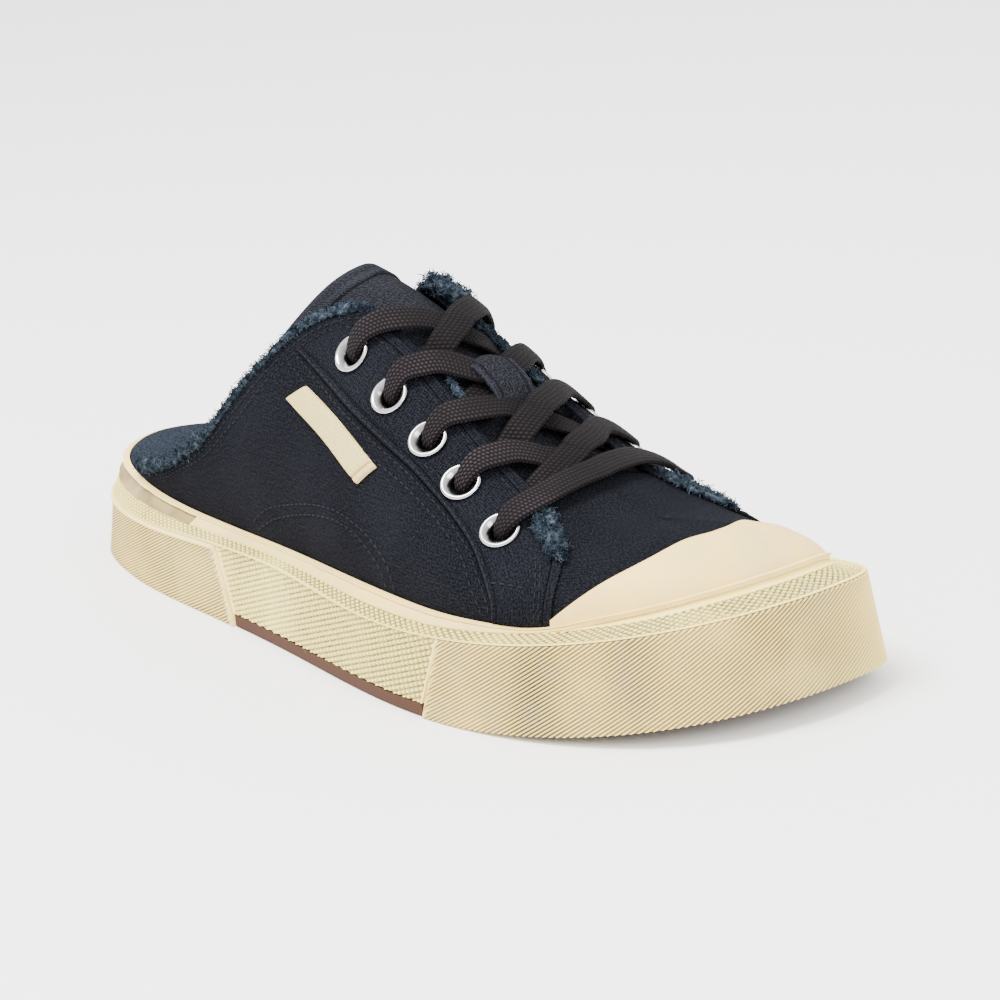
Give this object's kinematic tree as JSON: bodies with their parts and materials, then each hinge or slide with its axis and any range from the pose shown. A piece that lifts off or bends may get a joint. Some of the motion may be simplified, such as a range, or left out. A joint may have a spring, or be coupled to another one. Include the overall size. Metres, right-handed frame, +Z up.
{
  "type": "backless lace-up sneaker",
  "caption": "Backless canvas lace-up sneaker, right shoe, with frayed collar edges, a rubber toe cap and a cup sole with ribbed heel and forefoot wraps.",
  "frame": {"origin": "middle of the shoe's footprint, on the floor it stands on", "axes": "+X from heel to toe, +Y to the medial (inner) side, +Z up; the lateral side faces -Y"},
  "size_m": [0.286, 0.1031, 0.0935],
  "materials": {
    "canvas": "near-black woven canvas",
    "lining": "dark woven lining on a foam foot bed",
    "rubber": "aged cream rubber with dirt in its ribs",
    "gum": "matt gum-brown rubber",
    "thread": "loose blue-grey threads",
    "cord": "flat woven brown-black lace",
    "steel": "polished, lightly worn",
    "tape": "cream cotton tape"
  },
  "bodies": {
    "root": {"outsole": "gum", "cupsole": "rubber", "heel_wrap": "rubber", "forefoot_wrap": "rubber", "panel_lateral": "rubber", "panel_medial": "rubber", "foxing_tape": "rubber", "toe_cap": "rubber", "insole": "lining", "upper": "canvas", "facing_lateral": "canvas", "facing_medial": "canvas", "tongue": "canvas", "lace_keeper": "canvas", "label_tab": "tape", "eyelet_lateral_1": "steel", "eyelet_lateral_2": "steel", "eyelet_lateral_3": "steel", "eyelet_lateral_4": "steel", "eyelet_lateral_5": "steel", "eyelet_medial_1": "steel", "eyelet_medial_2": "steel", "eyelet_medial_3": "steel", "eyelet_medial_4": "steel", "eyelet_medial_5": "steel", "lace_cross_1": "cord", "lace_cross_2": "cord", "lace_cross_3": "cord", "lace_cross_4": "cord", "lace_bar": "cord", "fray_collar_lateral": "thread", "fray_collar_medial": "thread", "fray_front_lateral": "thread", "fray_front_medial": "thread"}
  },
  "joints": []
}
